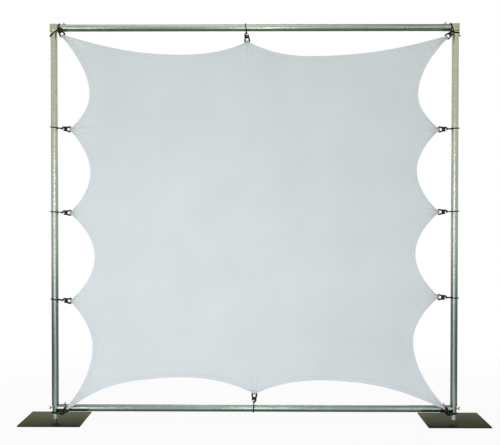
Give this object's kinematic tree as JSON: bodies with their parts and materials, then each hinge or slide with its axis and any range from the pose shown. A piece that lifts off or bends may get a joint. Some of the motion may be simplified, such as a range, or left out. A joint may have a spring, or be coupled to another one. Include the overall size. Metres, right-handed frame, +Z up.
{
  "type": "stretch fabric screen",
  "caption": "Free-standing screen: a scalloped white stretch sheet tied by clamps and elastic loops inside a pipe frame on flat base plates.",
  "frame": {"origin": "centre of the bounding box at floor level, midway between the two base plates' undersides", "axes": "+X across the screen from left to right as seen from the front, -Y out of the front, +Z up"},
  "size_m": [2.813, 0.375, 2.4297],
  "materials": {
    "pipe": "bright galvanised",
    "fitting": "galvanised casting",
    "screw": "zinc plated",
    "plate": "glossy dark olive",
    "pin": "bright turned",
    "clamp": "matte black",
    "cord": "black elastic",
    "sheet": "smooth white knit"
  },
  "bodies": {
    "screen_frame": {"left_post": "pipe", "right_post": "pipe", "top_rail_left": "pipe", "top_rail_right": "pipe", "top_rail_splice": "pipe", "bottom_rail": "pipe", "top_left_fitting": "fitting", "top_right_fitting": "fitting", "bottom_left_fitting": "fitting", "bottom_right_fitting": "fitting", "stretch_fabric": "sheet", "left_lower_cord": "cord", "left_lower_clamp_body": "clamp", "left_middle_cord": "cord", "left_middle_clamp_body": "clamp", "left_upper_cord": "cord", "left_upper_clamp_body": "clamp", "right_lower_cord": "cord", "right_lower_clamp_body": "clamp", "right_middle_cord": "cord", "right_middle_clamp_body": "clamp", "right_upper_cord": "cord", "right_upper_clamp_body": "clamp", "top_middle_cord": "cord", "top_middle_clamp_body": "clamp", "bottom_middle_cord": "cord", "bottom_middle_clamp_body": "clamp", "top_left_cord": "cord", "top_left_clamp_body": "clamp", "top_right_cord": "cord", "top_right_clamp_body": "clamp", "bottom_left_cord": "cord", "bottom_left_clamp_body": "clamp", "bottom_right_cord": "cord", "bottom_right_clamp_body": "clamp"},
    "left_base": {"left_base_plate": "plate", "left_base_pin": "pin"},
    "right_base": {"right_base_plate": "plate", "right_base_pin": "pin"},
    "top_left_rail_wing_screw_body": {"top_left_rail_wing_screw": "screw"},
    "bottom_left_rail_wing_screw_body": {"bottom_left_rail_wing_screw": "screw"},
    "top_left_post_wing_screw_body": {"top_left_post_wing_screw": "screw"},
    "bottom_left_pin_wing_screw_body": {"bottom_left_pin_wing_screw": "screw"},
    "top_right_rail_wing_screw_body": {"top_right_rail_wing_screw": "screw"},
    "bottom_right_rail_wing_screw_body": {"bottom_right_rail_wing_screw": "screw"},
    "top_right_post_wing_screw_body": {"top_right_post_wing_screw": "screw"},
    "bottom_right_pin_wing_screw_body": {"bottom_right_pin_wing_screw": "screw"},
    "left_lower_lever_body": {"left_lower_clamp_lever": "clamp"},
    "left_middle_lever_body": {"left_middle_clamp_lever": "clamp"},
    "left_upper_lever_body": {"left_upper_clamp_lever": "clamp"},
    "right_lower_lever_body": {"right_lower_clamp_lever": "clamp"},
    "right_middle_lever_body": {"right_middle_clamp_lever": "clamp"},
    "right_upper_lever_body": {"right_upper_clamp_lever": "clamp"},
    "top_middle_lever_body": {"top_middle_clamp_lever": "clamp"},
    "bottom_middle_lever_body": {"bottom_middle_clamp_lever": "clamp"},
    "top_left_lever_body": {"top_left_clamp_lever": "clamp"},
    "top_right_lever_body": {"top_right_clamp_lever": "clamp"},
    "bottom_left_lever_body": {"bottom_left_clamp_lever": "clamp"},
    "bottom_right_lever_body": {"bottom_right_clamp_lever": "clamp"}
  },
  "joints": [
    {"name": "left_base_swivel", "type": "hinge", "parent": "screen_frame", "child": "left_base", "pos_m": [-1.219, 0, 0], "axis": [0, 0, 1], "continuous": true},
    {"name": "right_base_swivel", "type": "hinge", "parent": "screen_frame", "child": "right_base", "pos_m": [1.219, 0, 0], "axis": [0, 0, 1], "continuous": true},
    {"name": "top_left_rail_wing_screw_turn", "type": "hinge", "parent": "screen_frame", "child": "top_left_rail_wing_screw_body", "pos_m": [-1.159, 0, 2.4159], "axis": [0, 0, 1], "range_deg": [0, 630]},
    {"name": "bottom_left_rail_wing_screw_turn", "type": "hinge", "parent": "screen_frame", "child": "bottom_left_rail_wing_screw_body", "pos_m": [-1.159, 0, 0.0959], "axis": [0, 0, 1], "range_deg": [0, 630]},
    {"name": "top_left_post_wing_screw_turn", "type": "hinge", "parent": "screen_frame", "child": "top_left_post_wing_screw_body", "pos_m": [-1.219, 0.0211, 2.3252], "axis": [0, 1, 0], "range_deg": [0, 630]},
    {"name": "bottom_left_pin_wing_screw_turn", "type": "hinge", "parent": "screen_frame", "child": "bottom_left_pin_wing_screw_body", "pos_m": [-1.237, 0, 0.0752], "axis": [-1, 0, 0], "range_deg": [0, 630]},
    {"name": "top_right_rail_wing_screw_turn", "type": "hinge", "parent": "screen_frame", "child": "top_right_rail_wing_screw_body", "pos_m": [1.159, 0, 2.4159], "axis": [0, 0, 1], "range_deg": [0, 630]},
    {"name": "bottom_right_rail_wing_screw_turn", "type": "hinge", "parent": "screen_frame", "child": "bottom_right_rail_wing_screw_body", "pos_m": [1.159, 0, 0.0959], "axis": [0, 0, 1], "range_deg": [0, 630]},
    {"name": "top_right_post_wing_screw_turn", "type": "hinge", "parent": "screen_frame", "child": "top_right_post_wing_screw_body", "pos_m": [1.2401, 0, 2.3447], "axis": [1, 0, 0], "range_deg": [0, 630]},
    {"name": "bottom_right_pin_wing_screw_turn", "type": "hinge", "parent": "screen_frame", "child": "bottom_right_pin_wing_screw_body", "pos_m": [1.237, 0, 0.0752], "axis": [1, 0, 0], "range_deg": [0, 630]},
    {"name": "left_lower_clamp_pivot", "type": "hinge", "parent": "screen_frame", "child": "left_lower_lever_body", "pos_m": [-1.14583, 0, 0.73153], "axis": [0, 1, 0], "range_deg": [0, 20], "stiffness_Nm_per_rad": 0.2, "springref_deg": -34.38},
    {"name": "left_middle_clamp_pivot", "type": "hinge", "parent": "screen_frame", "child": "left_middle_lever_body", "pos_m": [-1.14593, 0, 1.26956], "axis": [0, 1, 0], "range_deg": [0, 20], "stiffness_Nm_per_rad": 0.2, "springref_deg": -34.38},
    {"name": "left_upper_clamp_pivot", "type": "hinge", "parent": "screen_frame", "child": "left_upper_lever_body", "pos_m": [-1.1458, 0, 1.78027], "axis": [0, 1, 0], "range_deg": [0, 20], "stiffness_Nm_per_rad": 0.2, "springref_deg": -34.38},
    {"name": "right_lower_clamp_pivot", "type": "hinge", "parent": "screen_frame", "child": "right_lower_lever_body", "pos_m": [1.14597, 0, 0.75525], "axis": [0, -1, 0], "range_deg": [0, 20], "stiffness_Nm_per_rad": 0.2, "springref_deg": -34.38},
    {"name": "right_middle_clamp_pivot", "type": "hinge", "parent": "screen_frame", "child": "right_middle_lever_body", "pos_m": [1.14597, 0, 1.27601], "axis": [0, -1, 0], "range_deg": [0, 20], "stiffness_Nm_per_rad": 0.2, "springref_deg": -34.38},
    {"name": "right_upper_clamp_pivot", "type": "hinge", "parent": "screen_frame", "child": "right_upper_lever_body", "pos_m": [1.14594, 0, 1.7779], "axis": [0, -1, 0], "range_deg": [0, 20], "stiffness_Nm_per_rad": 0.2, "springref_deg": -34.38},
    {"name": "top_middle_clamp_pivot", "type": "hinge", "parent": "screen_frame", "child": "top_middle_lever_body", "pos_m": [-0.04491, 0, 2.33505], "axis": [0, -1, 0], "range_deg": [0, 20], "stiffness_Nm_per_rad": 0.2, "springref_deg": -34.38},
    {"name": "bottom_middle_clamp_pivot", "type": "hinge", "parent": "screen_frame", "child": "bottom_middle_lever_body", "pos_m": [0.0009, 0, 0.13725], "axis": [0, -1, 0], "range_deg": [0, 20], "stiffness_Nm_per_rad": 0.2, "springref_deg": -34.38},
    {"name": "top_left_clamp_pivot", "type": "hinge", "parent": "screen_frame", "child": "top_left_lever_body", "pos_m": [-1.1709, -0.037, 2.36264], "axis": [0, 1, 0], "range_deg": [0, 20], "stiffness_Nm_per_rad": 0.2, "springref_deg": -34.38},
    {"name": "top_right_clamp_pivot", "type": "hinge", "parent": "screen_frame", "child": "top_right_lever_body", "pos_m": [1.17831, -0.037, 2.34408], "axis": [0, -1, 0], "range_deg": [0, 20], "stiffness_Nm_per_rad": 0.2, "springref_deg": -34.38},
    {"name": "bottom_left_clamp_pivot", "type": "hinge", "parent": "screen_frame", "child": "bottom_left_lever_body", "pos_m": [-1.15655, -0.037, 0.06161], "axis": [0, -1, 0], "range_deg": [0, 20], "stiffness_Nm_per_rad": 0.2, "springref_deg": -34.38},
    {"name": "bottom_right_clamp_pivot", "type": "hinge", "parent": "screen_frame", "child": "bottom_right_lever_body", "pos_m": [1.16776, -0.037, 0.06579], "axis": [0, 1, 0], "range_deg": [0, 20], "stiffness_Nm_per_rad": 0.2, "springref_deg": -34.38}
  ]
}
